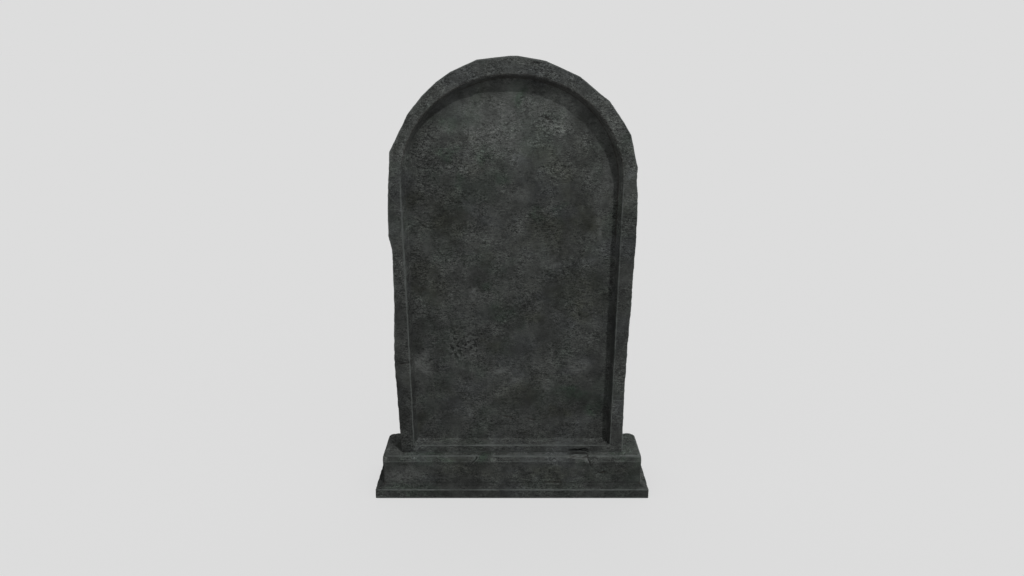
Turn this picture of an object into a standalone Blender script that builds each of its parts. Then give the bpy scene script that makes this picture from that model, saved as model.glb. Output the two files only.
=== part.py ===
# Upright headstone: an arched tablet with a sunken panel, standing on a moulded base.
# Metres, +Z up. The front faces -Y, +X is the viewer's right, and the origin is on the
# ground under the middle of the base.

import math

import bmesh
import bpy
from mathutils import Matrix, Vector

# The tablet, an upright slab with a low arch on top
TABLET_WIDTH = 0.610
TABLET_THICKNESS = 0.083
SHAFT_HEIGHT = 0.7455
ARCH_RISE = 0.2935

# The raised rim and the sunken panel inside it, whose sides lean in towards the panel
RIM_SIDE = 0.036
RIM_CROWN = 0.0405
RIM_FOOT = 0.021
PANEL_DEPTH = 0.029
PANEL_SPLAY = 0.0075
PANEL_FOOT_SPLAY = 0.004
PANEL_ARCH_STEPS = 44

# The base, from the ground up: square band, shallow hollow sweep, flat face, eased top edge
BASE_HEIGHT = 0.120
BAND_HEIGHT = 0.0265
SWEEP_HEIGHT = 0.009
SWEEP_PROJECTION = 0.0223
EASE_IN = 0.0034
EASE_DOWN = 0.0197
CORNER_ROUND = 0.004
BACK_CORNER_WEAR = 0.017
SWEEP_STEPS = 6
EASE_STEPS = 6
CORNER_STEPS = 5

# Flat top left on the base between the tablet and the eased edge
LEDGE_FRONT = 0.0163
LEDGE_SIDE = 0.0462

# Weather has rounded every arris of the tablet a little
ARRIS_WEAR = 0.0025
ARRIS_STEPS = 2

# The tablet rests on the base with a hair's breadth between the two solids
JOINT_GAP = 0.0003

# The slab was dressed by hand, so each side is a run of flat facets. A corner of the run is
# given by its height, as a share of the shaft, and by how far it stands out of the true side.
# The left side has lost a flake where it steps back below the shoulder.
RIGHT_SIDE = ((0.245, -0.0043), (0.83, 0.0038), (0.96, 0.0008))
LEFT_SIDE = ((0.36, 0.0058), (0.62, -0.0041), (0.775, -0.0060), (0.825, 0.0014), (0.96, -0.0030))

# The same for the arch. A corner is given by its angle in degrees from the right springing,
# and by how far it stands out of the true arch.
ARCH_CORNERS = (
    (1.3, -0.0038),
    (7.3, -0.0007),
    (22.2, 0.0012),
    (29.1, -0.0017),
    (40.0, -0.0020),
    (57.6, -0.0036),
    (74.2, -0.0026),
    (88.8, 0.0),
    (106.3, 0.0007),
    (119.0, -0.0016),
    (126.9, -0.0038),
    (135.7, -0.0061),
    (146.6, -0.0072),
    (165.6, -0.0025),
)

# A chip is gone from the top front edge of the base, right of the middle, and a flake from
# the tablet's foot above it. Each is a long faceted lump bitten out of an arris, and its
# place is a share of the half width of its stone.
CHIP_PLACE = 0.52
CHIP_LENGTH = 0.060
CHIP_HEIGHT = 0.022
CHIP_DEPTH = 0.010
FLAKE_PLACE = 0.57
FLAKE_LENGTH = 0.046
FLAKE_HEIGHT = 0.024
FLAKE_DEPTH = 0.022

# What follows from the sizes above
TABLET_HALF = TABLET_WIDTH / 2
FRONT_Y = -TABLET_THICKNESS / 2
FOOT_Z = BASE_HEIGHT + JOINT_GAP
SPRING_Z = FOOT_Z + SHAFT_HEIGHT
BLOCK_HALF_X = TABLET_HALF + LEDGE_SIDE + EASE_IN
BLOCK_HALF_Y = TABLET_THICKNESS / 2 + LEDGE_FRONT + EASE_IN


def stone(name, colour, roughness):
    material = bpy.data.materials.new(name)
    material.use_nodes = True
    shader = material.node_tree.nodes["Principled BSDF"]
    shader.inputs["Base Color"].default_value = (*colour, 1.0)
    shader.inputs["Roughness"].default_value = roughness
    shader.inputs["Metallic"].default_value = 0.0
    return material


def new_object(name, bm):
    bmesh.ops.recalc_face_normals(bm, faces=bm.faces)
    mesh = bpy.data.meshes.new(name)
    bm.to_mesh(mesh)
    bm.free()
    item = bpy.data.objects.new(name, mesh)
    bpy.context.scene.collection.objects.link(item)
    return item


def loft(name, loops):
    """One closed body through loops of equally many points, capped at both ends."""
    bm = bmesh.new()
    rings = [[bm.verts.new(point) for point in loop] for loop in loops]
    for lower, upper in zip(rings, rings[1:]):
        for i in range(len(lower)):
            j = (i + 1) % len(lower)
            bm.faces.new((lower[i], lower[j], upper[j], upper[i]))
    bm.faces.new(reversed(rings[0]))
    bm.faces.new(rings[-1])
    return new_object(name, bm)


def cut(item, cutter):
    cutter.hide_render = True
    cutter.display_type = "WIRE"
    boolean = item.modifiers.new(cutter.name, "BOOLEAN")
    boolean.operation = "DIFFERENCE"
    boolean.solver = "EXACT"
    boolean.object = cutter


def bite(item, name, place, size):
    """Cut a faceted lump of the given full size out of an arris."""
    bm = bmesh.new()
    bmesh.ops.create_icosphere(bm, subdivisions=1, radius=0.5)
    scale = Matrix.Diagonal((*size, 1.0))
    bmesh.ops.transform(bm, matrix=Matrix.Translation(place) @ scale, verts=bm.verts)
    cut(item, new_object(name, bm))


def arch_point(half_width, rise, degrees, stand_out=0.0):
    """A point of a half ellipse over the springing, seen from its centre at the given angle."""
    angle = math.radians(degrees)
    reach = half_width * rise / math.hypot(rise * math.cos(angle), half_width * math.sin(angle))
    reach += stand_out
    return reach * math.cos(angle), SPRING_Z + reach * math.sin(angle)


def tablet_outline():
    """Corners of the slab as (x, z), from the right foot over the arch to the left foot."""
    corners = [(TABLET_HALF, FOOT_Z)]
    for share, stand_out in RIGHT_SIDE:
        corners.append((TABLET_HALF + stand_out, FOOT_Z + share * SHAFT_HEIGHT))
    for degrees, stand_out in ARCH_CORNERS:
        corners.append(arch_point(TABLET_HALF, ARCH_RISE, degrees, stand_out))
    for share, stand_out in reversed(LEFT_SIDE):
        corners.append((-TABLET_HALF - stand_out, FOOT_Z + share * SHAFT_HEIGHT))
    corners.append((-TABLET_HALF, FOOT_Z))
    return corners


def panel_outline(splays):
    """Outline of the panel as (x, z), drawn in by that many splays from the rim's inner arris."""
    half_width = TABLET_HALF - RIM_SIDE - splays * PANEL_SPLAY
    rise = ARCH_RISE - RIM_CROWN - splays * PANEL_SPLAY
    foot = FOOT_Z + RIM_FOOT + splays * PANEL_FOOT_SPLAY
    outline = [(half_width, foot)]
    for step in range(PANEL_ARCH_STEPS + 1):
        angle = math.pi * step / PANEL_ARCH_STEPS
        outline.append((half_width * math.cos(angle), SPRING_Z + rise * math.sin(angle)))
    outline.append((-half_width, foot))
    return outline


def upright_loop(outline, y):
    return [(x, y, z) for x, z in outline]


def make_tablet():
    outline = tablet_outline()
    loops = [upright_loop(outline, FRONT_Y), upright_loop(outline, -FRONT_Y)]
    tablet = loft("tablet", loops)

    # The cutter starts as far in front of the slab as the panel is deep behind its face,
    # and widens on the same slope.
    front = upright_loop(panel_outline(-1), FRONT_Y - PANEL_DEPTH)
    back = upright_loop(panel_outline(1), FRONT_Y + PANEL_DEPTH)
    cut(tablet, loft("panel_cutter", [front, back]))

    wear = tablet.modifiers.new("arris wear", "BEVEL")
    wear.width = ARRIS_WEAR
    wear.segments = ARRIS_STEPS
    wear.limit_method = "ANGLE"
    wear.angle_limit = math.radians(35)

    flake_at = Vector((FLAKE_PLACE * TABLET_HALF, FRONT_Y, FOOT_Z))
    bite(tablet, "flake_cutter", flake_at, (FLAKE_LENGTH, FLAKE_DEPTH, FLAKE_HEIGHT))
    return tablet


def base_profile():
    """Section of the base as (how far in from the band's face, height), from the ground up."""
    profile = [(0.0, 0.0), (0.0, BAND_HEIGHT)]
    for step in range(1, SWEEP_STEPS + 1):
        angle = 0.5 * math.pi * step / SWEEP_STEPS
        inward = SWEEP_PROJECTION * math.sin(angle)
        profile.append((inward, BAND_HEIGHT + SWEEP_HEIGHT * (1 - math.cos(angle))))
    for step in range(EASE_STEPS + 1):
        angle = 0.5 * math.pi * step / EASE_STEPS
        inward = SWEEP_PROJECTION + EASE_IN * (1 - math.cos(angle))
        profile.append((inward, BASE_HEIGHT - EASE_DOWN * (1 - math.sin(angle))))
    return profile


def level_loop(inward, z):
    """The base's plan at one height, anticlockwise seen from above.

    The corners at the back are worn rounder than those in front, above the square band.
    """
    half_x = BLOCK_HALF_X + SWEEP_PROJECTION - inward
    half_y = BLOCK_HALF_Y + SWEEP_PROJECTION - inward
    worn = min(inward / SWEEP_PROJECTION, 1.0)
    loop = []
    for quarter in range(4):
        sign_x = 1 if quarter in (0, 3) else -1
        sign_y = 1 if quarter in (0, 1) else -1
        radius = CORNER_ROUND
        if sign_y > 0:
            radius += worn * (BACK_CORNER_WEAR - CORNER_ROUND)
        for step in range(CORNER_STEPS + 1):
            angle = 0.5 * math.pi * (quarter + step / CORNER_STEPS)
            x = sign_x * (half_x - radius) + radius * math.cos(angle)
            y = sign_y * (half_y - radius) + radius * math.sin(angle)
            loop.append((x, y, z))
    return loop


def make_base():
    base = loft("moulded_base", [level_loop(inward, z) for inward, z in base_profile()])
    chip_at = Vector((CHIP_PLACE * BLOCK_HALF_X, EASE_IN - BLOCK_HALF_Y, BASE_HEIGHT))
    bite(base, "chip_cutter", chip_at, (CHIP_LENGTH, CHIP_DEPTH, CHIP_HEIGHT))
    return base


def finish(item, material):
    item.data.materials.append(material)
    item.data.shade_smooth()
    item.data.set_sharp_from_angle(angle=math.radians(35))


def main():
    for item in list(bpy.data.objects):
        bpy.data.objects.remove(item, do_unlink=True)
    finish(make_tablet(), stone("tablet stone", (0.052, 0.055, 0.051), 0.82))
    finish(make_base(), stone("base stone", (0.048, 0.052, 0.047), 0.85))


main()
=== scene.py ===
import math

import bmesh
import bpy
import numpy as np
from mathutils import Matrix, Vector, kdtree


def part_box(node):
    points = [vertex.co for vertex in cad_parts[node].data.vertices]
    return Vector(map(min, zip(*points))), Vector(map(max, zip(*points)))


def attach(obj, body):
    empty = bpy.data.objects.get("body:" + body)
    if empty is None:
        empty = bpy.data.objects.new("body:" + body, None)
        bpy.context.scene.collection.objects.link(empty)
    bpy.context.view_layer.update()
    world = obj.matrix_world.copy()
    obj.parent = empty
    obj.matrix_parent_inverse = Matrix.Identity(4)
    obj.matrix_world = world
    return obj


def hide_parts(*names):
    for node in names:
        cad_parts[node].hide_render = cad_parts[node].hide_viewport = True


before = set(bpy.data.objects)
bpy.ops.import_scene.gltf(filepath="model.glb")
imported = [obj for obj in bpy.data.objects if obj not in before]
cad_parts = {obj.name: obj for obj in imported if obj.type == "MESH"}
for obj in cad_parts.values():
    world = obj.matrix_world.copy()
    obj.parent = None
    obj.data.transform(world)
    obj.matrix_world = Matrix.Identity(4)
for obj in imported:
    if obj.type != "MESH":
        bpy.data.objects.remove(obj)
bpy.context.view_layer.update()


# The base is one block of dark, fine-grained stone, rubbed smooth and long weathered. Its foot is
# a square band, a shallow sweep leads up to the flat face, and the top edge is eased by hand.
# Its front has lost a chip right of the middle, where a crack runs down from the tablet's foot.
BASE_LOW, BASE_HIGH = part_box("moulded_base")
BAND_TOP = BASE_LOW.z + 0.0265
COVE_TOP = BASE_LOW.z + 0.0355
EASE_FOOT = BASE_HIGH.z - 0.0197
BLOCK_END = BASE_HIGH.x - 0.0223
FRONT_Y = BASE_LOW.y + 0.035
BEFORE_TABLET_Y = -0.040
BESIDE_TABLET_X = 0.30

# The distance in metres that stands for nowhere near
FAR = 1.0


def waves(points, length, seed):
    """Smooth noise from about -1 to 1, whose waves are as long as length, one number or one per axis."""
    place = points / np.asarray(length) + 31.7 * seed
    cell = np.floor(place).astype(np.int64)
    part = place - cell
    fade = part * part * part * (part * (part * 6 - 15) + 10)
    total = np.zeros(len(points))
    for corner in np.ndindex(2, 2, 2):
        lattice = cell + corner
        key = lattice[:, 0] * 73856093 ^ lattice[:, 1] * 19349663 ^ lattice[:, 2] * 83492791
        key = (key ^ (key >> 15)) * 2246822519 & 0xFFFFFFFF
        key = (key ^ (key >> 13)) * 3266489917 & 0xFFFFFFFF
        slope = np.stack([key & 1023, key >> 10 & 1023, key >> 20 & 1023], 1) / 511.5 - 1
        share = np.where(corner, fade, 1 - fade).prod(1)
        total += share * (slope * (part - corner)).sum(1)
    return 1.8 * total


def layers(points, length, seed, count):
    """Waves with finer and weaker ones on them, each half as long and a little over half as strong."""
    total = np.zeros(len(points))
    for layer in range(count):
        total += 0.55 ** layer * waves(points, np.asarray(length) / 2 ** layer, seed + layer)
    return total


def rise(values, low, high):
    """0 below low and 1 above high, with a smooth slope between them."""
    share = np.clip((values - low) / (high - low), 0, 1)
    return share * share * (3 - 2 * share)


def fall(values, low, high):
    """1 below low and 0 above high, with a smooth slope between them."""
    return 1 - rise(values, low, high)


def beside_line(points, line, ragged):
    """Distance of each point from a broken line on the front, given as (x, z), in metres."""
    wander = np.stack([layers(points, 0.012, 71, 2), layers(points, 0.012, 75, 2)], 1)
    flat = points[:, [0, 2]] + ragged * wander
    nearest = np.full(len(points), FAR)
    for start, end in zip(line, line[1:]):
        along = np.subtract(end, start)
        share = np.clip((flat - start) @ along / (along @ along), 0, 1)
        away = np.linalg.norm(flat - start - share[:, None] * along, axis=1)
        nearest = np.minimum(nearest, away)
    return nearest


def patches(points, places, ragged, seed):
    """Soft ragged patches on the front. A place is (x, z, half width, half height, strength)."""
    warp = ragged * np.stack([layers(points, 0.06, seed, 3), layers(points, 0.06, seed + 5, 3)], 1)
    total = np.zeros(len(points))
    for x, z, half_width, half_height, strength in places:
        away = (points[:, [0, 2]] + warp - (x, z)) / (half_width, half_height)
        total = np.maximum(total, strength * fall(np.linalg.norm(away, axis=1), 0.3, 1.3))
    return total


def away_from(points, line):
    """Distance of each point from a line that is given by close points along it."""
    tree = kdtree.KDTree(len(line))
    for index, place in enumerate(line):
        tree.insert(place, index)
    tree.balance()
    return np.array([tree.find(point)[2] for point in points.tolist()])


# The mesh over each stone: how fine its faces are, and how proud of the stone it starts
HALVINGS = 9
BOX_SHARE = 0.9
PROUD_START = 0.0014
SAME_POINT = 0.00005
ARRIS_TURN = math.radians(30.0)
LINE_STEP = 0.001


def sharp_lines(node):
    """Points every millimetre along a packed stone's outer arrises, and along its inner corners."""
    form = bmesh.new()
    form.from_mesh(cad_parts[node].data)
    bmesh.ops.remove_doubles(form, verts=form.verts, dist=SAME_POINT)
    arrises, corners = [], []
    for edge in form.edges:
        turn = edge.calc_face_angle_signed(0.0)
        if abs(turn) > ARRIS_TURN:
            steps = math.ceil(edge.calc_length() / LINE_STEP)
            start, end = (vertex.co for vertex in edge.verts)
            line = arrises if turn > 0 else corners
            line.extend(start.lerp(end, step / steps) for step in range(steps + 1))
    form.free()
    return arrises, corners


class Surface:
    """A packed stone's copy with small even faces: its points, its normals and its arrises."""

    def __init__(self, node, name):
        arrises, corners = sharp_lines(node)
        self.item = bpy.data.objects.new(name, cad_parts[node].data.copy())
        bpy.context.scene.collection.objects.link(self.item)
        remesh = self.item.modifiers.new("small faces", "REMESH")
        remesh.mode = "SHARP"
        remesh.octree_depth = HALVINGS
        remesh.scale = BOX_SHARE
        remesh.use_remove_disconnected = False
        self.settle()
        self.low, self.high = (np.array(corner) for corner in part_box(node))
        mesh = self.item.data
        count = len(mesh.vertices)
        self.points = np.empty(count * 3, np.float32)
        mesh.vertices.foreach_get("co", self.points)
        self.points = self.points.reshape(-1, 3).astype(float)
        self.normals = np.empty(count * 3, np.float32)
        mesh.vertex_normals.foreach_get("vector", self.normals)
        self.normals = self.normals.reshape(-1, 3).astype(float)
        self.front = rise(-self.normals[:, 1], 0.35, 0.8)
        self.arris = away_from(self.points, arrises)
        self.corner = away_from(self.points, corners) if corners else np.full(count, FAR)

    def settle(self):
        """Turn the modifiers into plain mesh."""
        view = bpy.context.evaluated_depsgraph_get()
        mesh = bpy.data.meshes.new_from_object(self.item.evaluated_get(view))
        self.item.modifiers.clear()
        self.item.data = mesh

    def lose(self, depth):
        """Take that depth of stone off each point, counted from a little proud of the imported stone.

        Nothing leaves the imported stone's box, so a face on the box starts from the face itself.
        """
        reach = np.where(self.normals > 0, self.high - self.points, self.points - self.low)
        room = (reach / np.maximum(np.abs(self.normals), 0.05)).min(1)
        depth = depth - np.clip(room, 0, PROUD_START)
        moved = np.clip(self.points - self.normals * depth[:, None], self.low, self.high)
        self.item.data.vertices.foreach_set("co", moved.astype(np.float32).ravel())
        self.item.data.update()

    def mark(self, name, values):
        """Keep a value at each point for the stone's material."""
        layer = self.item.data.attributes.new(name, "FLOAT", "POINT")
        layer.data.foreach_set("value", np.clip(values, 0, 1).astype(np.float32))

    def mark_lines(self, darkened_near):
        """Keep how far each point is from an arris, and from an inner corner or a crack."""
        self.mark("from_arris", self.arris)
        self.mark("from_dirt_and_shade", np.minimum(self.corner, darkened_near))

    def thin(self, triangles):
        """Join small faces where the stone is flat, down to that many triangles."""
        total = 2 * len(self.item.data.polygons)
        thinning = self.item.modifiers.new("fewer faces", "DECIMATE")
        thinning.ratio = min(1.0, triangles / total)
        self.settle()
        for vertex in self.item.data.vertices:
            vertex.co = np.clip(vertex.co, self.low, self.high)
        self.item.data.shade_smooth()


# The wear of any face: how deep each kind goes, and how far from an arris it is nicked
UNEVEN_DEPTH = 0.00050
RUBBED_DEPTH = 0.00022
GRAIN_DEPTH = 0.00011
PIT_DEPTH = 0.0016
NICK_DEPTH = 0.0018
NICK_REACH = 0.006


def weather(stone, seed):
    """The wear that any face of this stone shows: uneven rubbing, open grain, pits and worn arrises."""
    points = stone.points
    uneven = UNEVEN_DEPTH * (1 + layers(points, 0.130, seed, 3))
    rubbed = RUBBED_DEPTH * (1 + layers(points, 0.034, seed + 3, 3))
    grain = GRAIN_DEPTH * (1 + layers(points, (0.013, 0.008, 0.006), seed + 6, 2))
    pits = PIT_DEPTH * rise(layers(points, 0.009, seed + 8, 2), 0.62, 1.1)
    near_arris = fall(stone.arris, 0.0, NICK_REACH)
    nicks = NICK_DEPTH * near_arris * rise(layers(points, 0.024, seed + 10, 3), 0.0, 0.9)
    return uneven + rubbed + grain + pits + nicks


# Colours of the stone and of what lies on it, and of the painted highlights and painted shade laid with the
# wear and dirt. A shift is a factor on the stone's own tone.
GREEN_SHIFT = (0.94, 1.015, 0.96)
BLUE_SHIFT = (0.985, 0.995, 1.045)
OLIVE_SHIFT = (0.79, 0.80, 0.69)
MOSS_TONE = (0.031, 0.047, 0.034)
WORN_AND_HIGHLIGHT_TONE = (0.108, 0.118, 0.112)
BLOOM_AND_HIGHLIGHT_TONE = (0.142, 0.148, 0.143)
DIRT_AND_SHADE_TONE = (0.022, 0.016, 0.013)

# On plain stone a mark is EVEN. The grain is stretched along the stone's bed, and tilted a little.
EVEN = 0.5
PALER_BASE = 6.0
GRAIN_STRETCH = (0.72, 1.30, 1.50)
GRAIN_TILT = 0.10
BUMP_DEPTH = 0.0026


def stone_finish(name, tone):
    """Dark stone with a fine fibrous grain, cloudy staining, pale arrises that are partly wear and partly
    painted highlight, and dirt and painted shade in its hollows.
    """
    material = bpy.data.materials.new(name)
    material.use_nodes = True
    nodes, links = material.node_tree.nodes, material.node_tree.links
    shader = nodes["Principled BSDF"]
    shader.inputs["Metallic"].default_value = 0.0
    shader.inputs["Specular IOR Level"].default_value = 0.30
    place = nodes.new("ShaderNodeTexCoord").outputs["Object"]

    def stretched(scale, turn):
        """Coordinates stretched along the grain, which is tilted a little."""
        node = nodes.new("ShaderNodeMapping")
        links.new(place, node.inputs["Vector"])
        node.inputs["Rotation"].default_value = (0.0, turn, 0.0)
        node.inputs["Scale"].default_value = scale
        return node.outputs["Vector"]

    def cloud(scale, detail, roughness=0.6, where=place, distortion=0.0):
        node = nodes.new("ShaderNodeTexNoise")
        links.new(where, node.inputs["Vector"])
        node.inputs["Scale"].default_value = scale
        node.inputs["Detail"].default_value = detail
        node.inputs["Roughness"].default_value = roughness
        node.inputs["Distortion"].default_value = distortion
        return node.outputs["Fac"]

    def between(value, low, high, to_low=0.0, to_high=1.0):
        node = nodes.new("ShaderNodeMapRange")
        node.interpolation_type = "SMOOTHSTEP"
        links.new(value, node.inputs["Value"])
        node.inputs["From Min"].default_value = low
        node.inputs["From Max"].default_value = high
        node.inputs["To Min"].default_value = to_low
        node.inputs["To Max"].default_value = to_high
        return node.outputs["Result"]

    def sums(operation, one, other):
        node = nodes.new("ShaderNodeMath")
        node.operation = operation
        for socket, value in zip(node.inputs, (one, other)):
            if isinstance(value, (int, float)):
                socket.default_value = value
            else:
                links.new(value, socket)
        return node.outputs["Value"]

    def marked(attribute):
        node = nodes.new("ShaderNodeAttribute")
        node.attribute_name = attribute
        return node.outputs["Fac"]

    def laid_over(under, over, share, blend="MIX"):
        node = nodes.new("ShaderNodeMix")
        node.data_type = "RGBA"
        node.blend_type = blend
        for socket, value in ((node.inputs[6], under), (node.inputs[7], over)):
            if isinstance(value, tuple):
                socket.default_value = (*value, 1.0)
            else:
                links.new(value, socket)
        if isinstance(share, float):
            node.inputs[0].default_value = share
        else:
            links.new(share, node.inputs[0])
        return node.outputs[2]

    def grey(value):
        node = nodes.new("ShaderNodeCombineColor")
        for socket in node.inputs:
            links.new(value, socket)
        return node.outputs["Color"]

    # Broad stains in the stone: greenish, bluish and olive over its own grey
    green = tuple(channel * shift for channel, shift in zip(tone, GREEN_SHIFT))
    blue = tuple(channel * shift for channel, shift in zip(tone, BLUE_SHIFT))
    olive = tuple(channel * shift for channel, shift in zip(tone, OLIVE_SHIFT))
    ragged = cloud(55.0, 5.0, 0.65)
    colour = laid_over(tone, green, between(cloud(9.0, 3.0), 0.48, 0.66))
    blue_cloud = cloud(7.0, 3.0, where=stretched((1.0, 1.0, 1.3), 0.7))
    colour = laid_over(colour, blue, between(blue_cloud, 0.50, 0.68))
    olive_cloud = cloud(11.0, 4.0, where=stretched((1.0, 1.0, 1.2), -0.5))
    olive_patches = sums("MULTIPLY", marked("olive"), between(ragged, 0.36, 0.60, 0.45, 1.0))
    olive_share = sums("ADD", between(olive_cloud, 0.52, 0.72, 0.0, 0.4), olive_patches)
    colour = laid_over(colour, olive, sums("MINIMUM", olive_share, 1.0))
    green_share = sums("MULTIPLY", marked("green"), between(ragged, 0.38, 0.62, 0.20, 0.85))
    colour = laid_over(colour, MOSS_TONE, green_share)

    # Lighter and darker clouds, and where rain has washed the stone pale or dirt has settled, with painted
    # light and painted shade in the same mark. The mark is EVEN on plain stone, and a mark of 1 makes the
    # stone lighter by the root of PALER_BASE.
    light = sums("POWER", PALER_BASE, sums("SUBTRACT", marked("paler"), EVEN))
    light = sums("MULTIPLY", light, between(cloud(6.5, 4.0), 0.30, 0.70, 0.86, 1.14))
    light = sums("MULTIPLY", light, between(cloud(27.0, 4.0, 0.60), 0.30, 0.70, 0.70, 1.30))

    # The grain is strong in some places and faint in others, with fine curling veins and pale specks
    grain_place = stretched(GRAIN_STRETCH, GRAIN_TILT)
    strength = between(cloud(16.0, 4.0, 0.65), 0.36, 0.64, 0.32, 1.70)
    strength = sums("MULTIPLY", strength, sums("ADD", sums("MULTIPLY", marked("grainy"), 1.1), 0.45))
    coarse = sums("MULTIPLY", sums("SUBTRACT", cloud(130.0, 3.0, 0.65, where=grain_place), 0.5), 2.3)
    fine = sums("MULTIPLY", sums("SUBTRACT", cloud(385.0, 3.0, 0.75, where=grain_place), 0.5), 3.9)
    specks = between(cloud(310.0, 2.0, 0.5), 0.62, 0.72, 0.0, 0.9)
    grain = sums("MULTIPLY", sums("ADD", sums("ADD", coarse, fine), specks), strength)
    light = sums("MULTIPLY", light, sums("MAXIMUM", sums("ADD", grain, 1.0), 0.25))
    veins = sums("ABSOLUTE", sums("SUBTRACT", cloud(36.0, 6.0, 0.7, distortion=1.8), 0.5), 0.0)
    light = sums("MULTIPLY", light, between(veins, 0.0, 0.016, 0.80, 1.02))
    curls = sums("ABSOLUTE", sums("SUBTRACT", cloud(64.0, 5.0, 0.66, distortion=2.4), 0.5), 0.0)
    curls = sums("MULTIPLY", between(curls, 0.0, 0.014, 0.26, 0.0), strength)
    light = sums("MULTIPLY", light, sums("ADD", curls, 0.97))
    colour = laid_over(colour, grey(light), 1.0, "MULTIPLY")

    # Pale scuffs and bloom with painted highlights among them, arrises worn pale and partly painted as
    # highlights, and dirt and painted shade in the hollows
    wander = sums("MULTIPLY", cloud(85.0, 5.0, 0.7), 0.0040)
    worn_and_highlight = between(sums("ADD", marked("from_arris"), wander), 0.0022, 0.0052, 0.72, 0.0)
    worn_and_highlight = sums("MULTIPLY", worn_and_highlight, between(cloud(20.0, 3.0), 0.36, 0.64, 0.65, 1.30))
    colour = laid_over(colour, WORN_AND_HIGHLIGHT_TONE, worn_and_highlight)
    bloom_cloud = cloud(140.0, 5.0, 0.7, where=grain_place)
    bloom_and_highlight = sums("MULTIPLY", marked("pale"), between(bloom_cloud, 0.40, 0.60, 0.08, 0.85))
    colour = laid_over(colour, BLOOM_AND_HIGHLIGHT_TONE, bloom_and_highlight)
    dirt_and_shade = between(sums("ADD", marked("from_dirt_and_shade"), wander), 0.0020, 0.0056, 0.62, 0.0)
    colour = laid_over(colour, DIRT_AND_SHADE_TONE, dirt_and_shade)
    links.new(colour, shader.inputs["Base Color"])
    links.new(between(ragged, 0.3, 0.7, 0.95, 0.80), shader.inputs["Roughness"])

    # Grain too fine for the mesh
    finest = sums("MULTIPLY", cloud(620.0, 3.0, 0.6, where=grain_place), 0.35)
    height = sums("ADD", cloud(210.0, 5.0, 0.65, where=grain_place), finest)
    bump = nodes.new("ShaderNodeBump")
    bump.inputs["Strength"].default_value = 1.0
    bump.inputs["Distance"].default_value = BUMP_DEPTH
    links.new(height, bump.inputs["Height"])
    links.new(bump.outputs["Normal"], shader.inputs["Normal"])
    return material


BASE_TRIANGLES = 195000
BASE_SEED = 100
BASE_TONE = (0.046, 0.049, 0.046)

# Lines on the front as (x, z) from end to end, and how deep and wide some of them are cut
CRACK = ((0.2065, 0.1205), (0.2085, 0.1100), (0.2135, 0.1000))
CRACK_DEPTH = 0.0034
CRACK_WIDTH = 0.0030
CRACK_TAIL = ((0.2135, 0.1000), (0.2190, 0.0860), (0.2280, 0.0745), (0.2400, 0.0700))
TAIL_DEPTH = 0.0012
SCRATCH = ((-0.0960, 0.1170), (-0.1010, 0.1080), (-0.1080, 0.0985), (-0.1200, 0.0860))
SCRATCH_DEPTH = 0.0026
SCRATCH_WIDTH = 0.0030
SPLIT = ((0.092, 0.0370), (0.134, 0.0365))
SPLIT_DEPTH = 0.0018
BAND_LIP = ((0.094, 0.0325), (0.132, 0.0320))
EASED_LINES = (
    ((-0.345, 0.1015), (-0.225, 0.1020)),
    ((-0.200, 0.1020), (-0.110, 0.1015)),
    ((-0.080, 0.1020), (0.150, 0.1015)),
    ((0.228, 0.1025), (0.345, 0.1025)),
)
BROKEN_EDGE = ((0.152, 0.1150), (0.170, 0.1165), (0.195, 0.1150), (0.204, 0.1090), (0.2105, 0.1010))

# Middle of the chip and of the mossy patch. A pale lip runs this far from the middle of a crack
# or scratch, and an arris counted this much further away isn't worn pale.
CHIP_X = 0.195
MOSS_X = -0.071
LIP_AWAY = 0.0036
KEPT_DARK = 0.004

# Patches on the front as (x, z, half width, half height, strength)
HOLLOW = ((0.249, 0.0685, 0.014, 0.0052, 1.0),)
HOLLOW_DEPTH = 0.0034
SPALL = ((0.236, 0.082, 0.034, 0.028, 1.0),)
SPALL_DEPTH = 0.0024
UNDER_FLAKE = ((0.187, 0.1225, 0.030, 0.0125, 1.0),)
BASE_PALE = (
    (0.172, 0.1155, 0.012, 0.0040, 0.8),
    (0.196, 0.1140, 0.009, 0.0055, 1.0),
    (0.178, 0.1040, 0.007, 0.0040, 0.8),
    (0.2075, 0.1050, 0.005, 0.0060, 1.0),
    (-0.300, 0.0550, 0.060, 0.0300, 0.30),
)
BASE_OLIVE = (
    (0.10, 0.06, 0.10, 0.03, 0.7),
    (-0.12, 0.075, 0.12, 0.03, 0.5),
    (0.31, 0.08, 0.05, 0.03, 0.4),
)
BASE_GREEN = (
    (-0.071, 0.118, 0.022, 0.022, 1.0),
    (-0.220, 0.108, 0.100, 0.016, 0.5),
    (0.320, 0.120, 0.050, 0.030, 0.7),
    (-0.250, 0.020, 0.120, 0.012, 0.6),
)

# How much rain has washed each part of the base pale, and how much dirt has darkened it. The ledge strip in
# front of the tablet is painted paler, which is painted light, and the cove, the left end and the ledge under
# the flake are painted darker, which is painted shade.
LEDGE_WASHED = 0.10
STRIP_PAINTED_LIGHT = 0.11
EASED_WASHED = 0.17
ALL_SETTLED = 0.03
BAND_SETTLED = 0.15
COVE_SHADE = 0.24
END_SHADE = 0.25
BELOW_EASED_SETTLED = 0.08
FLAKE_LEDGE_SHADE = 0.76
HOLLOW_SETTLED = 0.30
CORNER_SETTLED = 0.12
RIGHT_SETTLED = 0.06
SCRATCH_SETTLED = 0.40
TAIL_SETTLED = 0.22

base = Surface("moulded_base", "weathered_base")
points = base.points
across, inward, up = points.T
in_front = inward < FRONT_Y
before_tablet = inward < BEFORE_TABLET_Y
on_ledge = rise(base.normals[:, 2], 0.6, 0.9) * (up > EASE_FOOT)

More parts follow.
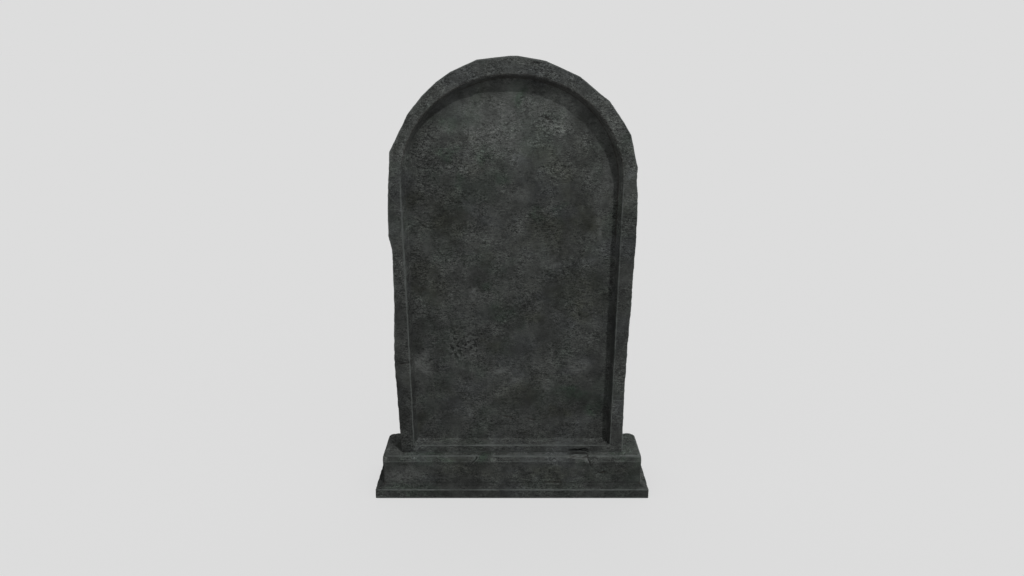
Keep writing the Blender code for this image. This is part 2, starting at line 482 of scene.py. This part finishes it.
# Stone that is gone: the crack and its tail, the scratch, the split, the spalled patch and the
# hollow. A line's last number is how far it strays, in metres, and a patch's is its noise seed.
crack = beside_line(points, CRACK, 0.0012)
tail = beside_line(points, CRACK_TAIL, 0.0035)
scratch = beside_line(points, SCRATCH, 0.0020)
split = beside_line(points, SPLIT, 0.0010)
spall = patches(points, SPALL, 0.008, 40)
hollow = patches(points, HOLLOW, 0.004, 44)
cracked = fall(crack, 0.0, CRACK_WIDTH * (1.2 + layers(points, 0.015, 47, 2)))
scratched = fall(scratch, 0.0, SCRATCH_WIDTH) * (0.35 + 0.65 * rise(up, 0.092, 0.106))
lost = weather(base, BASE_SEED)
lost += base.front * CRACK_DEPTH * cracked
lost += base.front * TAIL_DEPTH * fall(tail, 0.0, 0.0026)
lost += base.front * SCRATCH_DEPTH * scratched
lost += base.front * SPLIT_DEPTH * fall(split, 0.0, 0.0024)
lost += base.front * spall * SPALL_DEPTH * np.abs(layers(points, 0.0125, 46, 2))
lost += base.front * hollow * HOLLOW_DEPTH
lost *= rise(up, BASE_LOW.z + 0.0004, BASE_LOW.z + 0.003)
base.lose(lost)

# Arrises worn pale more or less, partly a painted highlight, and kept dark at the left end, which is in
# shade; and the pale lines beside the crack, the scratch and the broken edge, and along the band's lip and
# the eased edge, which are partly painted highlights
on_band_edge = np.abs(up - BAND_TOP) < 0.003
at_moss = fall(np.abs(across - MOSS_X), 0.008, 0.026)
bright_edge = rise(across, -0.06, -0.02) * rise(np.abs(across - CHIP_X), 0.035, 0.045)
base.arris -= (0.0006 + 0.0006 * on_band_edge) * in_front
base.arris += KEPT_DARK * rise(-across, BLOCK_END - 0.012, BLOCK_END - 0.006) * (up > COVE_TOP)
base.arris += (0.003 * at_moss - 0.0016 * bright_edge) * (up > EASE_FOOT) * in_front
broken = beside_line(points, BROKEN_EDGE, 0.0016)
beside_scratch = np.abs(scratch - LIP_AWAY) + KEPT_DARK * fall(up, 0.088, 0.098)
beside_crack = np.abs(crack - LIP_AWAY) + KEPT_DARK * (across > 0.209)
eased_line = np.minimum.reduce([beside_line(points, line, 0.0010) for line in EASED_LINES])
pale_lines = np.minimum.reduce([
    1.5 * beside_line(points, BAND_LIP, 0.0018) + 0.0012,
    1.3 * eased_line + 0.0006,
    0.60 * broken,
    beside_scratch + 0.0008,
])
base.arris = np.minimum(base.arris, np.where(in_front, pale_lines, FAR))
darkened_near = np.minimum.reduce([
    crack + 0.0020 * (1 - cracked),
    split + 0.0006,
    0.008 * (1 - hollow) + 0.001,
])
base.mark_lines(np.where(in_front, darkened_near, FAR))

# Where the base is washed pale, and where dirt has settled on it. The ledge in front of the tablet is painted
# paler, painted light where the tablet takes some of the surrounding light; the cove under the face, the left
# end turned from the key light and the ledge under the flake are painted darker, painted shade.
eased = rise(up, EASE_FOOT - 0.0004, EASE_FOOT + 0.0008) * (1 - on_ledge)
eased_low = fall(up, EASE_FOOT + 0.002, EASE_FOOT + 0.014)
cove = rise(up, BAND_TOP + 0.0006, BAND_TOP + 0.0030) * fall(up, COVE_TOP, COVE_TOP + 0.004)
band = fall(up, BAND_TOP - 0.0030, BAND_TOP - 0.0010)
left_end = rise(-across, BLOCK_END - 0.004, BLOCK_END) * (up > BAND_TOP)
below_eased = rise(up, EASE_FOOT - 0.010, EASE_FOOT - 0.004) * (1 - eased) * (across < -0.10)
strip = STRIP_PAINTED_LIGHT + 0.08 * rise(across, -0.05, -0.02) + 0.04 * rise(across, 0.19, 0.22)
strip *= 1 - at_moss
strip *= fall(np.abs(across), 0.290, 0.312) * before_tablet
under_flake = patches(points, UNDER_FLAKE, 0.002, 62) * on_ledge * before_tablet
left_ledge = 0.06 * (across < -BESIDE_TABLET_X)
right_ledge = 0.07 * (across > BESIDE_TABLET_X) * rise(inward, -0.04, -0.02)
washed_and_lit = on_ledge * (LEDGE_WASHED - 0.08 * rise(inward, -0.03, 0.02) + strip)
washed_and_lit += on_ledge * (left_ledge - right_ledge)
washed_and_lit += eased * (EASED_WASHED + 0.07 * eased_low + 0.03 * bright_edge - 0.06 * rise(across, 0.20, 0.23))
settled_and_shade = ALL_SETTLED + BAND_SETTLED * band
settled_and_shade += COVE_SHADE * cove * in_front
settled_and_shade += END_SHADE * left_end
settled_and_shade += BELOW_EASED_SETTLED * below_eased
settled_and_shade += FLAKE_LEDGE_SHADE * under_flake
settled_and_shade += HOLLOW_SETTLED * hollow
settled_and_shade += CORNER_SETTLED * (across > BLOCK_END - 0.002) * (up < 0.070) * (up > BAND_TOP + 0.001)
settled_and_shade += RIGHT_SETTLED * rise(across, 0.20, 0.26) * in_front * (1 - band) * (1 - eased)
settled_and_shade += 0.04 * rise(across, 0.24, 0.30) * band + 0.04 * on_ledge * rise(inward, -0.03, 0.0)
settled_and_shade += SCRATCH_SETTLED * scratched * in_front + TAIL_SETTLED * base.front * fall(tail, 0.0, 0.0024)
base.mark("paler", EVEN + washed_and_lit - settled_and_shade)
base.mark("grainy", EVEN - 0.25 * on_ledge * (across < -BESIDE_TABLET_X))

# Pale scuffs along the broken edge and the crack, and coloured stains
pale = base.front * np.maximum(
    1.8 * patches(points, BASE_PALE, 0.004, 50),
    fall(0.7 * broken, 0.0004, 0.0024),
)
pale = np.maximum(pale, 0.8 * fall(beside_crack, 0.0003, 0.0016))
base.mark("pale", pale * in_front)
base.mark("olive", patches(points, BASE_OLIVE, 0.02, 54))
base.mark("green", patches(points, BASE_GREEN, 0.02, 58))
base.thin(BASE_TRIANGLES)
base.item.data.materials.clear()
base.item.data.materials.append(stone_finish("base_stone", BASE_TONE))
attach(base.item, "root")
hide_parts("moulded_base")


# The tablet is an upright slab of the same stone with an arched head. A raised rim runs round a
# flat sunken panel, whose sides splay in towards it. The outer sides and the back were dressed
# by hand and left rougher than the front, and a thin bed holds the slab on the base.
TABLET_TRIANGLES = 197000
TABLET_SEED = 0
TABLET_TONE = (0.048, 0.051, 0.048)
TABLET_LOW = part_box("tablet")[0]
FACE_Y = TABLET_LOW.y
PANEL_Y = FACE_Y + 0.029
SPRING_Z = TABLET_LOW.z + 0.7455
FOOT_ARRIS = TABLET_LOW.z + 0.0210
RECESS_HALF = 0.28

# Half width and rise of two arches over the springing: the rim's inner arris, and the edge of the
# shadow that the rim casts in the photograph, which falls lower on the panel and to the left
REVEAL_ARCH = (0.287, 0.271)
SHADE_ARCH = (0.262, 0.246)
SHADE_LEFT = 0.0196
SHADE_DOWN = 0.0417

# How deep each kind of damage to the tablet goes
PITTED_DEPTH = 0.0036
DRESSING_DEPTH = 0.0011
PANEL_CRACK_DEPTH = 0.0026
GOUGE_DEPTH = 0.0036
SCORE_DEPTH = 0.0006
FLAKE_DEPTH = 0.0075

# Patches on the front as (x, z, half width, half height, strength)
PANEL_PALE = (
    (-0.005, 1.000, 0.090, 0.060, 0.55),
    (0.002, 0.945, 0.050, 0.040, 0.50),
    (0.045, 1.030, 0.030, 0.040, 0.55),
    (-0.104, 0.571, 0.022, 0.018, 0.75),
    (0.012, 0.838, 0.030, 0.014, 0.40),
    (0.102, 0.657, 0.035, 0.022, 0.45),
    (-0.239, 0.380, 0.020, 0.035, 0.80),
    (-0.024, 0.356, 0.030, 0.014, 0.65),
    (-0.002, 0.330, 0.026, 0.012, 0.60),
    (0.095, 0.317, 0.026, 0.012, 0.45),
    (0.175, 0.371, 0.032, 0.026, 0.60),
    (0.205, 0.492, 0.028, 0.014, 0.50),
    (0.213, 0.755, 0.010, 0.032, 0.75),
    (0.230, 0.870, 0.018, 0.080, 0.35),
)
WASHED = (
    (0.020, 1.030, 0.260, 0.140, 0.28),
    (-0.260, 0.760, 0.060, 0.160, 0.06),
    (0.240, 0.760, 0.060, 0.160, 0.06),
    (0.295, 0.870, 0.040, 0.100, 0.08),
    (0.295, 0.930, 0.036, 0.055, 0.26),
    (-0.295, 0.930, 0.036, 0.055, 0.25),
    (0.010, 0.720, 0.130, 0.110, 0.08),
    (-0.020, 0.345, 0.130, 0.060, 0.08),
)
SETTLED = (
    (0.145, 0.762, 0.070, 0.050, 0.14),
    (0.167, 0.600, 0.085, 0.075, 0.12),
    (-0.244, 0.620, 0.050, 0.060, 0.12),
    (-0.208, 0.472, 0.060, 0.070, 0.12),
    (-0.244, 0.828, 0.050, 0.030, 0.16),
    (-0.137, 0.777, 0.045, 0.035, 0.12),
    (-0.066, 0.444, 0.060, 0.030, 0.12),
    (0.039, 0.537, 0.060, 0.030, 0.14),
    (0.104, 0.244, 0.060, 0.045, 0.12),
    (0.190, 0.270, 0.080, 0.060, 0.08),
    (-0.254, 0.213, 0.050, 0.060, 0.16),
    (-0.134, 0.281, 0.080, 0.050, 0.08),
    (-0.302, 0.240, 0.030, 0.160, 0.38),
    (-0.292, 0.500, 0.030, 0.130, 0.17),
    (-0.235, 1.020, 0.060, 0.050, 0.06),
    (-0.140, 1.125, 0.060, 0.035, 0.13),
    (0.085, 1.135, 0.045, 0.030, 0.07),
    (-0.295, 0.784, 0.030, 0.060, 0.06),
)
PANEL_OLIVE = (
    (-0.240, 0.820, 0.050, 0.040, 0.9),
    (-0.165, 0.770, 0.045, 0.060, 0.9),
    (-0.211, 0.600, 0.060, 0.060, 0.7),
    (0.103, 0.744, 0.050, 0.045, 0.9),
    (0.185, 0.762, 0.045, 0.060, 1.0),
    (0.120, 0.900, 0.080, 0.060, 0.6),
    (0.180, 0.590, 0.080, 0.070, 0.7),
    (0.170, 0.520, 0.040, 0.025, 0.9),
    (0.055, 0.521, 0.040, 0.020, 0.8),
    (-0.058, 0.435, 0.030, 0.020, 0.8),
    (0.132, 0.226, 0.060, 0.030, 0.9),
    (-0.254, 0.204, 0.040, 0.040, 0.8),
    (0.020, 0.285, 0.080, 0.030, 0.5),
)
PANEL_GREEN = (
    (0.026, 1.050, 0.020, 0.035, 1.0),
    (-0.145, 0.943, 0.030, 0.025, 0.7),
    (-0.058, 0.935, 0.025, 0.025, 0.7),
    (-0.127, 0.870, 0.020, 0.025, 0.6),
    (-0.017, 0.870, 0.020, 0.020, 0.6),
    (0.062, 0.782, 0.022, 0.022, 0.8),
    (0.124, 0.787, 0.015, 0.022, 0.6),
    (-0.067, 0.593, 0.022, 0.014, 0.7),
    (-0.026, 0.523, 0.030, 0.022, 1.0),
    (0.166, 0.287, 0.040, 0.026, 1.0),
    (0.222, 0.244, 0.035, 0.034, 1.0),
    (-0.155, 1.006, 0.040, 0.025, 0.5),
)
PIT_FIELD = ((-0.130, 0.430, 0.055, 0.060, 1.0),)
FLAKE_END = ((0.196, 0.121, 0.017, 0.010, 1.0),)

# Lines on the front as (x, z) from end to end
PANEL_CRACKS = (
    ((0.081, 1.018), (0.093, 1.014)),
    ((-0.022, 0.216), (0.000, 0.211)),
    ((0.041, 0.210), (0.061, 0.204)),
)
RIM_GOUGE = ((-0.296, 0.386), (-0.270, 0.389))
RIM_SCORE = ((0.266, 0.281), (0.298, 0.279))

# How much rain has washed each part of the tablet pale, and how much dirt has darkened it. The inner sides of
# the recess are painted paler or darker by the way they face the key light, which is painted light and shade;
# the flake's hollow and the pits are painted darker, painted shade.
HEAD_WASHED = 0.10
FOOT_REVEAL_PAINTED_LIGHT = 0.08
LEFT_REVEAL_PAINTED_LIGHT = 0.14
RIGHT_REVEAL_PAINTED_LIGHT = 0.34
LOW_PANEL_SETTLED = 0.04
FLAKE_SHADE = 0.62
PITS_SHADE = 0.25
FOOT_RIM_SETTLED = 0.03


def arch_share(across, up, arch):
    """Below 1 inside an arch over the springing, given as (half width, rise), and above 1 outside."""
    half_width, height = arch
    return (across / half_width) ** 2 + ((up - SPRING_Z) / height) ** 2


tablet = Surface("tablet", "weathered_tablet")
points = tablet.points
across, inward, up = points.T
in_panel = rise(inward, FACE_Y + 0.020, PANEL_Y - 0.002) * tablet.front
in_recess = rise(inward, FACE_Y + 0.002, FACE_Y + 0.006) * fall(inward, PANEL_Y, PANEL_Y + 0.004)
in_recess *= np.abs(across) < RECESS_HALF
on_rim = tablet.front * fall(inward, FACE_Y + 0.003, FACE_Y + 0.008)
at_flake = inward < FACE_Y + 0.02

# Stone that is gone: the pitted patch, the rough dressing of the outer sides, short cracks in the
# panel, a gouge and a score across the rim, and the thin end of the flake at the foot
outer = (1 - tablet.front) * rise(np.maximum(tablet.normals[:, 1], np.abs(across) / 0.3 - 0.1), 0.0, 0.9)
pit_field = in_panel * patches(points, PIT_FIELD, 0.02, 20)
pit_noise = layers(points, 0.0095, 24, 2)
pitted = pit_field * rise(pit_noise, 0.05, 0.45)
panel_cracks = np.minimum.reduce([beside_line(points, line, 0.0012) for line in PANEL_CRACKS])
gouge = beside_line(points, RIM_GOUGE, 0.0012)
score = beside_line(points, RIM_SCORE, 0.0006)
lost = weather(tablet, TABLET_SEED)
lost += PITTED_DEPTH * pitted
lost += outer * DRESSING_DEPTH * np.abs(layers(points, (0.050, 0.050, 0.042), 26, 2))
lost += in_panel * PANEL_CRACK_DEPTH * fall(panel_cracks, 0.0, 0.0030)
lost += on_rim * GOUGE_DEPTH * fall(gouge, 0.0, 0.0042)
lost += on_rim * SCORE_DEPTH * fall(score, 0.0, 0.0022)
lost *= rise(up, TABLET_LOW.z + 0.0002, TABLET_LOW.z + 0.002)
lost += FLAKE_DEPTH * patches(points, FLAKE_END, 0.004, 62) * at_flake
tablet.lose(lost)

# Dirt in the cracks and the gouge, and arrises worn more or less. Painted shade in the recess: on the faces
# that turn down or to the left, away from the key light, in its inner corners except towards the lower left,
# and with some dirt along the arch's inner arris. The arrises are pale partly as a painted highlight, more on
# the left side and the foot that face the light, and kept dark where they are in shade.
head = rise(up, SPRING_Z - 0.04, SPRING_Z + 0.06)
inside = arch_share(across, up, REVEAL_ARCH) < 1.0
at_reveal = head * inside * (np.abs(inward - FACE_Y) < 0.010)
in_shade = in_recess * rise(-tablet.normals[:, 2] - tablet.normals[:, 0], 0.2, 0.8)
shaded_corner = tablet.corner + 0.004 * fall(across + up - 0.9, 0.0, 0.1)
tablet.corner = np.where(in_recess > 0.5, shaded_corner, FAR)
tablet.arris = np.minimum(tablet.arris, np.where(on_rim > 0.5, score + 0.0008, FAR))
darkened_near = np.minimum.reduce([
    np.where(in_panel > 0.5, panel_cracks, FAR),
    np.where(on_rim > 0.5, gouge + 0.001, FAR),
    0.010 - 0.0082 * in_shade * head,
    0.010 - 0.0062 * in_shade,
    tablet.arris + 0.010 * (1 - at_reveal) + 0.0004,
])
on_foot_arris = np.abs(up - FOOT_ARRIS) < 0.006
on_left_arris = (across < -0.24) * (across > -0.285)
tablet.arris += KEPT_DARK * at_reveal
tablet.arris -= 0.0014 * on_foot_arris * rise(across, -0.12, -0.08) * fall(across, 0.12, 0.18)
tablet.arris -= 0.0014 * on_left_arris * rise(up, 0.50, 0.62) * fall(up, 0.90, 0.98)
tablet.arris += 0.0030 * (across < -0.28) * fall(up, 0.30, 0.45)
tablet.mark_lines(darkened_near)

# Where rain has washed the tablet pale, and where dirt has settled on it. Where the arched rim's shadow falls
# on the panel, the panel is painted a little darker, most on the left, and its grain is weaker there: painted
# shade.
foot_reveal = in_recess * rise(tablet.normals[:, 2], 0.3, 0.9)
left_reveal = in_recess * rise(tablet.normals[:, 0], 0.3, 0.9)
right_reveal = in_recess * rise(-tablet.normals[:, 0], 0.3, 0.9)
shaded = rise(arch_share(across + SHADE_LEFT, up + SHADE_DOWN, SHADE_ARCH), 0.94, 1.04)
shaded *= np.maximum(in_panel, in_recess) * rise(up, SPRING_Z - 0.10, SPRING_Z + 0.02) * inside
under_flake = patches(points, UNDER_FLAKE, 0.002, 62) * at_flake
washed_and_lit = patches(points, WASHED, 0.03, 42) + HEAD_WASHED * rise(up, 0.75, 1.0)
washed_and_lit += FOOT_REVEAL_PAINTED_LIGHT * foot_reveal
washed_and_lit += right_reveal * (RIGHT_REVEAL_PAINTED_LIGHT * rise(up, 0.45, 0.75) - 0.06)
washed_and_lit += LEFT_REVEAL_PAINTED_LIGHT * left_reveal * rise(up, 0.55, 0.70)
settled_and_shade = patches(points, SETTLED, 0.03, 44) + LOW_PANEL_SETTLED * in_panel * fall(up, 0.35, 0.75)
settled_and_shade += FLAKE_SHADE * under_flake + PITS_SHADE * pitted + FOOT_RIM_SETTLED * on_rim * (up < FOOT_ARRIS)
settled_and_shade += (0.01 + 0.05 * (across < -0.12)) * shaded
grainy = EVEN - 0.12 * in_panel * fall(up, 0.35, 0.60) + 0.06 * in_panel * rise(up, 0.80, 0.95)
tablet.mark("paler", EVEN + washed_and_lit - settled_and_shade)
tablet.mark("grainy", grainy * (1 - shaded))

# Pale bloom, a painted highlight on the rims of the pits, and coloured stains
beside_pits = pit_field * fall(np.abs(pit_noise + 0.05), 0.05, 0.30)
bloom_and_highlight = np.maximum(patches(points, PANEL_PALE, 0.016, 30), 0.8 * beside_pits)
tablet.mark("pale", in_panel * bloom_and_highlight)
tablet.mark("olive", in_panel * patches(points, PANEL_OLIVE, 0.03, 34))
tablet.mark("green", in_panel * patches(points, PANEL_GREEN, 0.02, 38))
tablet.thin(TABLET_TRIANGLES)
tablet.item.data.materials.clear()
tablet.item.data.materials.append(stone_finish("tablet_stone", TABLET_TONE))
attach(tablet.item, "root")
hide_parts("tablet")


# The floor is a wide pale sheet a hair's breadth under the base. It glows mostly by itself, so it
# looks even up to the horizon, and no hard shadow falls on it.
FLOOR_HALF = 150.0
FLOOR_CORNERS = ((-1, -1), (1, -1), (1, 1), (-1, 1))
FLOOR_DROP = 0.0002
FLOOR_TONE = 0.3
FLOOR_GLOW = 0.614

sheet = bpy.data.meshes.new("floor")
corners = [(x * FLOOR_HALF, y * FLOOR_HALF, BASE_LOW.z - FLOOR_DROP) for x, y in FLOOR_CORNERS]
sheet.from_pydata(corners, [], [(0, 1, 2, 3)])
floor = bpy.data.objects.new("floor", sheet)
bpy.context.scene.collection.objects.link(floor)
floor_finish = bpy.data.materials.new("pale_floor")
floor_finish.use_nodes = True
floor_shader = floor_finish.node_tree.nodes["Principled BSDF"]
floor_shader.inputs["Base Color"].default_value = (FLOOR_TONE, FLOOR_TONE, FLOOR_TONE, 1.0)
floor_shader.inputs["Roughness"].default_value = 1.0
floor_shader.inputs["Specular IOR Level"].default_value = 0.0
floor_shader.inputs["Emission Color"].default_value = (1.0, 1.0, 1.0, 1.0)
floor_shader.inputs["Emission Strength"].default_value = FLOOR_GLOW
sheet.materials.append(floor_finish)
floor.visible_diffuse = False
floor.visible_glossy = False
floor.visible_shadow = False


# The light is a soft key from above the viewer's right shoulder, a weaker one that stands low
# behind the stones, and a pale surround that is brightest in front.
KEY_AZIMUTH = math.radians(34.0)
KEY_ELEVATION = math.radians(50.0)
KEY_STRENGTH = 1.60
BACK_AZIMUTH = math.radians(150.0)
BACK_ELEVATION = math.radians(12.0)
BACK_STRENGTH = 1.5
LIGHT_SOFTNESS = math.radians(2.0)
SKY_ABOVE = 0.50
SKY_BELOW = 0.37
SKY_IN_FRONT = 1.0
SKY_BEHIND = 0.45
HORIZON_BLUR = 0.35
BACKDROP_TONE = 0.723

world = bpy.data.worlds.new("surround")
bpy.context.scene.world = world
world.use_nodes = True
sky, sky_links = world.node_tree.nodes, world.node_tree.links
surround = sky["Background"]
surround.inputs["Color"].default_value = (1.0, 1.0, 1.0, 1.0)
direction = sky.new("ShaderNodeSeparateXYZ")
sky_links.new(sky.new("ShaderNodeTexCoord").outputs["Generated"], direction.inputs["Vector"])
height = sky.new("ShaderNodeMapRange")
height.interpolation_type = "SMOOTHSTEP"
height.inputs["From Min"].default_value = -HORIZON_BLUR
height.inputs["From Max"].default_value = HORIZON_BLUR
height.inputs["To Min"].default_value = SKY_BELOW
height.inputs["To Max"].default_value = SKY_ABOVE
sky_links.new(direction.outputs["Z"], height.inputs["Value"])
depth = sky.new("ShaderNodeMapRange")
depth.inputs["From Min"].default_value = -1.0
depth.inputs["To Min"].default_value = SKY_IN_FRONT
depth.inputs["To Max"].default_value = SKY_BEHIND
sky_links.new(direction.outputs["Y"], depth.inputs["Value"])
glow = sky.new("ShaderNodeMath")
glow.operation = "MULTIPLY"
sky_links.new(height.outputs["Result"], glow.inputs[0])
sky_links.new(depth.outputs["Result"], glow.inputs[1])
seen = sky.new("ShaderNodeMapRange")
seen.inputs["To Max"].default_value = BACKDROP_TONE
sky_links.new(sky.new("ShaderNodeLightPath").outputs["Is Camera Ray"], seen.inputs["Value"])
sky_links.new(glow.outputs["Value"], seen.inputs["To Min"])
sky_links.new(seen.outputs["Result"], surround.inputs["Strength"])

lit = bpy.data.collections.new("lit_stones")
for item in (base.item, tablet.item):
    lit.objects.link(item)


def far_light(name, azimuth, elevation, strength):
    """A far soft light on the two stones only, its azimuth counted from the front to the right."""
    light = bpy.data.lights.new(name, "SUN")
    light.energy = strength
    light.angle = LIGHT_SOFTNESS
    source = bpy.data.objects.new(name, light)
    bpy.context.scene.collection.objects.link(source)
    level = math.cos(elevation)
    towards = Vector((math.sin(azimuth) * level, -math.cos(azimuth) * level, math.sin(elevation)))
    source.rotation_euler = towards.to_track_quat("Z", "Y").to_euler()
    source.light_linking.receiver_collection = lit


far_light("key", KEY_AZIMUTH, KEY_ELEVATION, KEY_STRENGTH)
far_light("back", BACK_AZIMUTH, BACK_ELEVATION, BACK_STRENGTH)


# The camera looks straight at the front, a little from above, as in the photograph. Its lens and
# its place were fitted to the outline of both stones.
PICTURE_WIDTH = 1024
FOCAL_PIXELS = 695.3
CAMERA_ELEVATION = math.radians(19.085)
CAMERA_DISTANCE = 1.8087
CAMERA_TARGET = Vector((0.0, 0.0, 0.5855))
SENSOR_WIDTH = 36.0
FARTHEST_SEEN = 1000.0

lens = bpy.data.cameras.new("camera")
lens.sensor_width = SENSOR_WIDTH
lens.lens = SENSOR_WIDTH * FOCAL_PIXELS / PICTURE_WIDTH
lens.clip_end = FARTHEST_SEEN
camera = bpy.data.objects.new("camera", lens)
bpy.context.scene.collection.objects.link(camera)
back = Vector((0.0, -math.cos(CAMERA_ELEVATION), math.sin(CAMERA_ELEVATION)))
camera.location = CAMERA_TARGET + CAMERA_DISTANCE * back
camera.rotation_euler = back.to_track_quat("Z", "Y").to_euler()
bpy.context.scene.camera = camera
bpy.context.scene.view_settings.view_transform = "Standard"
